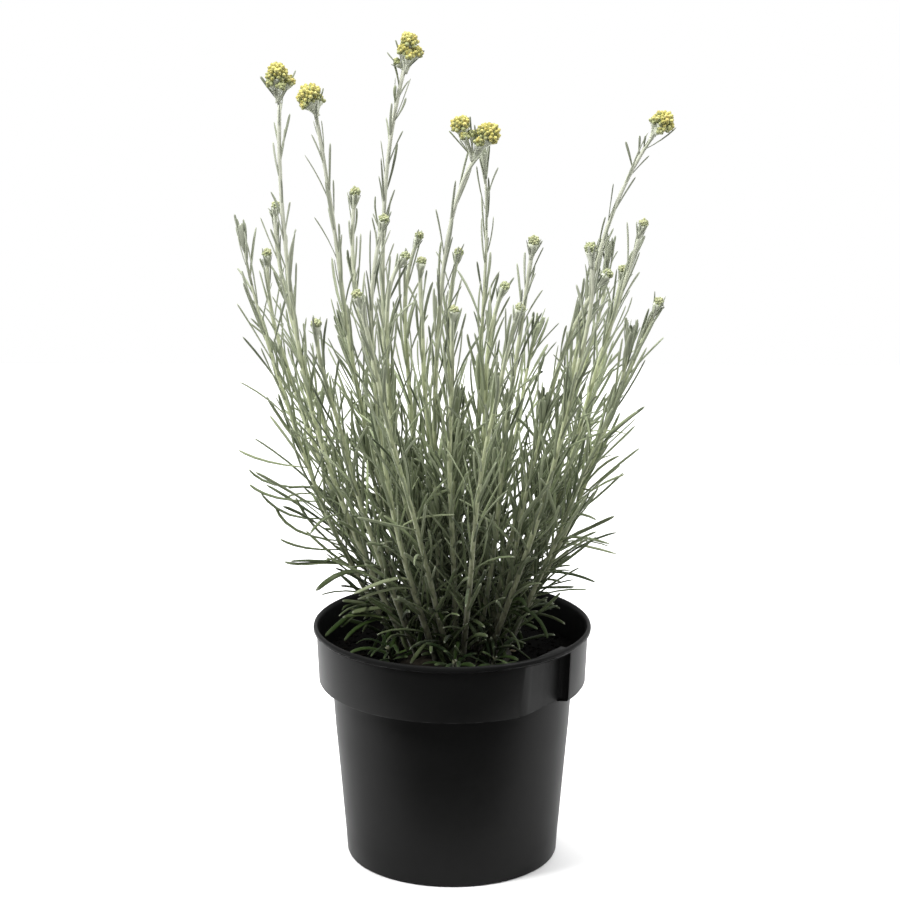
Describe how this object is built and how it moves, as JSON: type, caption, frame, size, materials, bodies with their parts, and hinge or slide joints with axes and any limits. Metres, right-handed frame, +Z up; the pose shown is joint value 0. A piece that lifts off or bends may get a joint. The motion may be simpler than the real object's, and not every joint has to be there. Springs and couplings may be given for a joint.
{
  "type": "potted curry plant",
  "caption": "Potted herb: slender leafy stems with small yellow flower heads and green buds, fanning from a woody crown in a black nursery pot.",
  "frame": {"origin": "centre of the pot's flat underside, on the surface that the pot stands on", "axes": "+Z up along the pot's axis, -Y towards the front, +X to the right seen from the front"},
  "size_m": [0.2152, 0.1701, 0.4245],
  "materials": {
    "pot_plastic": "satin charcoal injection-moulded plastic",
    "compost": "moist dark peat-like compost",
    "wood": "rough grey-brown bark",
    "felted_green": "pale silver-green stems and narrow leaves with short felt",
    "basal_green": "darker green broad leaves, whitish below",
    "flower_yellow": "dry papery yellow flower buttons on felted stalks",
    "bud_green": "closed greenish buds with short felt"
  },
  "bodies": {
    "root": {"basal_shoot_1": "basal_green", "basal_shoot_2": "basal_green", "basal_shoot_3": "basal_green", "bud_cluster_08": "bud_green", "bud_cluster_09": "bud_green", "bud_cluster_10": "bud_green", "bud_cluster_11": "bud_green", "bud_cluster_12": "bud_green", "bud_cluster_13": "bud_green", "bud_cluster_14": "bud_green", "bud_cluster_15": "bud_green", "bud_cluster_16": "bud_green", "bud_cluster_17": "bud_green", "bud_cluster_18": "bud_green", "bud_cluster_19": "bud_green", "bud_cluster_20": "bud_green", "bud_cluster_21": "bud_green", "bud_cluster_22": "bud_green", "bud_cluster_24": "bud_green", "bud_cluster_25": "bud_green", "bud_cluster_26": "bud_green", "bud_cluster_27": "bud_green", "compost": "compost", "flower_head_01": "flower_yellow", "flower_head_02": "flower_yellow", "flower_head_03": "flower_yellow", "flower_head_04": "flower_yellow", "flower_head_05": "flower_yellow", "leafy_stem_01": "felted_green", "leafy_stem_02": "felted_green", "leafy_stem_03": "felted_green", "leafy_stem_04": "felted_green", "leafy_stem_05": "felted_green", "leafy_stem_06": "felted_green", "leafy_stem_07": "felted_green", "leafy_stem_08": "felted_green", "leafy_stem_09": "felted_green", "leafy_stem_10": "felted_green", "leafy_stem_11": "felted_green", "leafy_stem_12": "felted_green", "leafy_stem_13": "felted_green", "leafy_stem_14": "felted_green", "leafy_stem_15": "felted_green", "leafy_stem_16": "felted_green", "leafy_stem_17": "felted_green", "leafy_stem_18": "felted_green", "leafy_stem_19": "felted_green", "leafy_stem_20": "felted_green", "leafy_stem_21": "felted_green", "leafy_stem_22": "felted_green", "leafy_stem_23": "felted_green", "leafy_stem_24": "felted_green", "leafy_stem_25": "felted_green", "leafy_stem_26": "felted_green", "leafy_stem_27": "felted_green", "leafy_stem_28": "felted_green", "leafy_stem_29": "felted_green", "leafy_stem_30": "felted_green", "pot": "pot_plastic", "woody_crown": "wood"}
  },
  "joints": []
}
